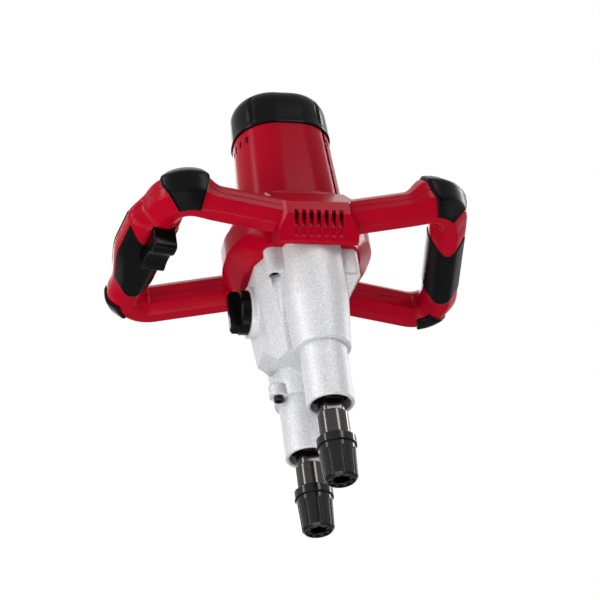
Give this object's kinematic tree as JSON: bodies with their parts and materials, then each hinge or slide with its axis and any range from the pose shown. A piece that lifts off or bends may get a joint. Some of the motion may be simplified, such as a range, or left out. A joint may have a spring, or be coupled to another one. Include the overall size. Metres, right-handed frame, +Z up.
{
  "type": "mixing drill",
  "caption": "Hand held power mixer with looped side handles, a vertical motor and two counter-rotating spindles with quick-release chucks for stirring paddles.",
  "frame": {"origin": "midway between the two chucks, in the plane of their mouths, on the motor axis", "axes": "+Z up along the motor axis and spindles, -Y towards the front vent box, -X towards the handle with the trigger"},
  "size_m": [0.3886, 0.223, 0.4975],
  "materials": {
    "red_plastic": "fine eroded gloss",
    "black_plastic": "matte",
    "soft_rubber": "soft touch",
    "cast_aluminium": "shot blasted casting",
    "black_steel": "blackened",
    "dark_chrome": "polished dark",
    "steel": "ground",
    "lamination": "stacked sheet",
    "copper": "enamelled",
    "graphite": "pressed carbon"
  },
  "bodies": {
    "housing": {"armature_bearings": "steel", "bearing_bridge": "black_plastic", "bearing_plate": "cast_aluminium", "brush_bridge": "black_plastic", "cable_inlet": "soft_rubber", "carbon_brushes": "graphite", "case_screws": "black_steel", "countershaft_bearings": "steel", "field_coils": "copper", "front_nose_tube": "cast_aluminium", "gear_case": "cast_aluminium", "idler_axles": "steel", "left_front_bumper": "soft_rubber", "left_handle_lower": "red_plastic", "left_handle_upper": "red_plastic", "left_rear_bumper": "soft_rubber", "left_soft_grip": "soft_rubber", "main_frame": "red_plastic", "motor_cap": "black_plastic", "motor_housing": "red_plastic", "nose_screw": "black_steel", "rear_nose_tube": "cast_aluminium", "right_front_bumper": "soft_rubber", "right_handle_lower": "red_plastic", "right_handle_upper": "red_plastic", "right_rear_bumper": "soft_rubber", "right_soft_grip": "soft_rubber", "shift_rod": "steel", "spindle_bearings": "steel", "spindle_seals": "soft_rubber", "stator": "lamination", "switch_body": "black_plastic", "trigger_pin": "steel", "trigger_spring": "steel"},
    "armature": {"armature_shaft": "steel", "armature_core": "lamination", "commutator": "copper", "cooling_fan": "black_plastic"},
    "countershaft": {"countershaft": "steel", "first_gear": "steel", "low_pinion": "steel"},
    "high_pinion": {"high_pinion": "steel"},
    "shift_sleeve": {"shift_sleeve": "steel"},
    "shift_fork": {"shift_fork": "steel"},
    "selector": {"selector_knob": "black_plastic", "selector_shaft": "steel"},
    "front_idler": {"front_idler": "steel"},
    "rear_idler": {"rear_idler": "steel"},
    "front_spindle": {"front_spindle": "dark_chrome", "front_spindle_gear": "steel", "front_lock_balls": "steel", "front_chuck_spring": "steel"},
    "rear_spindle": {"rear_spindle": "dark_chrome", "rear_low_gear": "steel", "rear_high_gear": "steel", "rear_lock_balls": "steel", "rear_chuck_spring": "steel"},
    "front_chuck": {"front_chuck_sleeve": "black_steel"},
    "rear_chuck": {"rear_chuck_sleeve": "black_steel"},
    "trigger": {"trigger": "black_plastic"}
  },
  "joints": [
    {"name": "armature_spin", "type": "hinge", "parent": "housing", "child": "armature", "pos_m": [0, 0, 0.35], "axis": [0, 0, 1], "continuous": true},
    {"name": "countershaft_spin", "type": "hinge", "parent": "housing", "child": "countershaft", "pos_m": [-0.01843, 0.02108, 0.22], "axis": [0, 0, 1], "continuous": true},
    {"name": "high_pinion_spin", "type": "hinge", "parent": "housing", "child": "high_pinion", "pos_m": [-0.01843, 0.02108, 0.23], "axis": [0, 0, 1], "continuous": true},
    {"name": "front_idler_spin", "type": "hinge", "parent": "housing", "child": "front_idler", "pos_m": [0.01257, -0.0135, 0.199], "axis": [0, 0, 1], "continuous": true},
    {"name": "rear_idler_spin", "type": "hinge", "parent": "housing", "child": "rear_idler", "pos_m": [0.01257, 0.0135, 0.199], "axis": [0, 0, 1], "continuous": true},
    {"name": "front_spindle_spin", "type": "hinge", "parent": "housing", "child": "front_spindle", "pos_m": [0, -0.052, 0.1], "axis": [0, 0, 1], "continuous": true},
    {"name": "rear_spindle_spin", "type": "hinge", "parent": "housing", "child": "rear_spindle", "pos_m": [0, 0.052, 0.1], "axis": [0, 0, 1], "continuous": true},
    {"name": "selector_turn", "type": "hinge", "parent": "housing", "child": "selector", "pos_m": [-0.05, 0.005, 0.23], "axis": [1, 0, 0], "range_deg": [0, 90]},
    {"name": "shift_fork_slide", "type": "slide", "parent": "housing", "child": "shift_fork", "axis": [0, 0, 1], "range_m": [0, 0.0035]},
    {"name": "shift_sleeve_slide", "type": "slide", "parent": "countershaft", "child": "shift_sleeve", "axis": [0, 0, 1], "range_m": [0, 0.0035]},
    {"name": "front_chuck_slide", "type": "slide", "parent": "front_spindle", "child": "front_chuck", "axis": [0, 0, 1], "range_m": [0, 0.006], "stiffness_N_per_m": 800, "springref_m": -0.006, "deforming": ["front_chuck_spring"]},
    {"name": "rear_chuck_slide", "type": "slide", "parent": "rear_spindle", "child": "rear_chuck", "axis": [0, 0, 1], "range_m": [0, 0.006], "stiffness_N_per_m": 800, "springref_m": -0.006, "deforming": ["rear_chuck_spring"]},
    {"name": "trigger_pull", "type": "hinge", "parent": "housing", "child": "trigger", "pos_m": [-0.15284, -0.05656, 0.29808], "axis": [0.9845, 0.1753, 0], "range_deg": [0, 5], "stiffness_Nm_per_rad": 2, "springref_deg": -8.59}
  ],
  "couplings": [
    {"joint": "countershaft_spin", "follows": "armature_spin", "ratio": -0.19149},
    {"joint": "high_pinion_spin", "follows": "armature_spin", "ratio": -0.10638},
    {"joint": "front_idler_spin", "follows": "armature_spin", "ratio": 0.12766},
    {"joint": "rear_idler_spin", "follows": "armature_spin", "ratio": -0.12766},
    {"joint": "front_spindle_spin", "follows": "armature_spin", "ratio": -0.06383},
    {"joint": "rear_spindle_spin", "follows": "armature_spin", "ratio": 0.06383},
    {"joint": "selector_turn", "follows": "shift_fork_slide", "rad_per_m": 448.8},
    {"joint": "shift_sleeve_slide", "follows": "shift_fork_slide", "ratio": 1}
  ]
}
